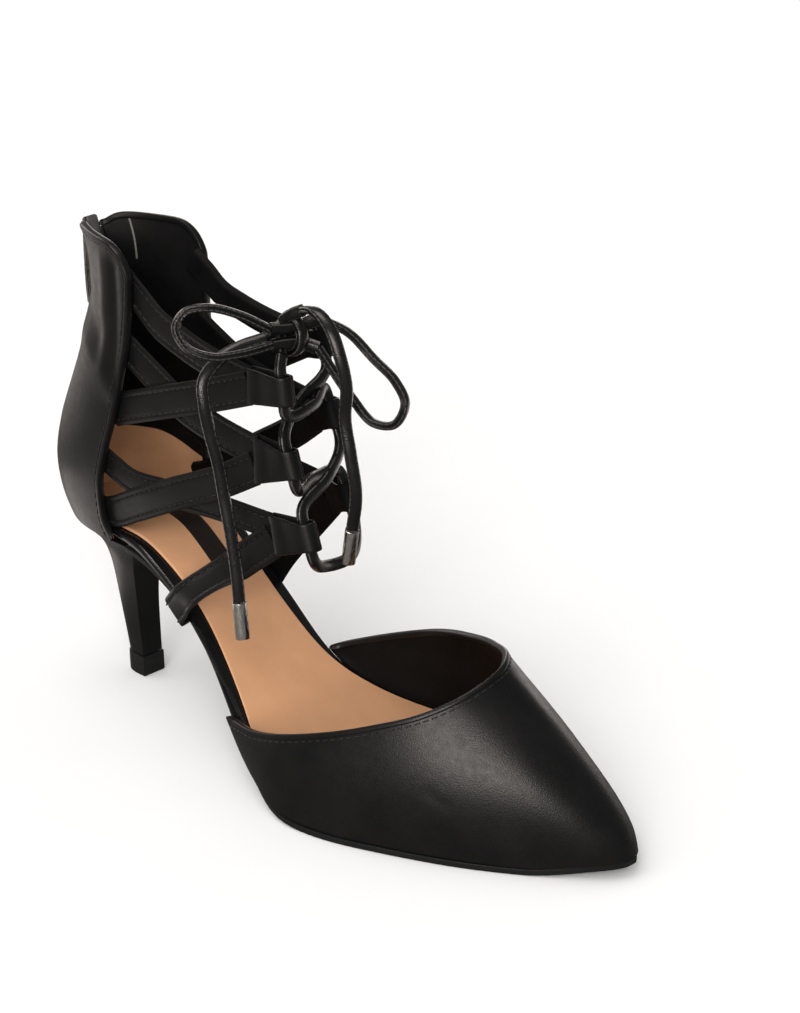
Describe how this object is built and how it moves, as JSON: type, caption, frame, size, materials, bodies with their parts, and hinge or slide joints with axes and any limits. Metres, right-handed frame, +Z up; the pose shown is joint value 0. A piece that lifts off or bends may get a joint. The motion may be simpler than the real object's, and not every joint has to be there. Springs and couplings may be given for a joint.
{
  "type": "pump shoe",
  "caption": "Right pointed pump with an open waist, slim heel, high closed back with a zip, and ankle straps that lace at the front and tie in a bow.",
  "frame": {"origin": "on the floor under the ball of the foot, on the outsole's flat underside", "axes": "+X from the heel to the toe, +Y to the inner (medial) side of the foot, +Z up"},
  "size_m": [0.2433, 0.0859, 0.1581],
  "materials": {
    "black_leather": "satin",
    "board_cover": "semi gloss",
    "heel_cover": "satin",
    "sole_rubber": "matte",
    "tan_sock": "smooth",
    "dark_metal": "polished gunmetal",
    "zip_tape": "matte",
    "rolled_cord": "semi gloss"
  },
  "bodies": {
    "shoe": {"outsole": "sole_rubber", "insole_board": "board_cover", "insole": "tan_sock", "heel": "heel_cover", "heel_tip": "sole_rubber", "vamp": "black_leather", "counter": "black_leather", "straps_lateral": "black_leather", "straps_medial": "black_leather", "zip_chain": "zip_tape", "zip_slider": "dark_metal", "lace_crossings": "rolled_cord", "lace_knot": "rolled_cord", "bow_loop_left": "rolled_cord", "bow_loop_right": "rolled_cord", "lace_end_left": "rolled_cord", "lace_end_right": "rolled_cord", "aglet_left": "dark_metal", "aglet_right": "dark_metal"},
    "pull": {"zip_pull": "dark_metal"}
  },
  "joints": [
    {"name": "zip_pull_swing", "type": "hinge", "parent": "shoe", "child": "pull", "pos_m": [-0.14905, 0, 0.1506], "axis": [0, 1, 0], "range_deg": [0, 150]}
  ]
}
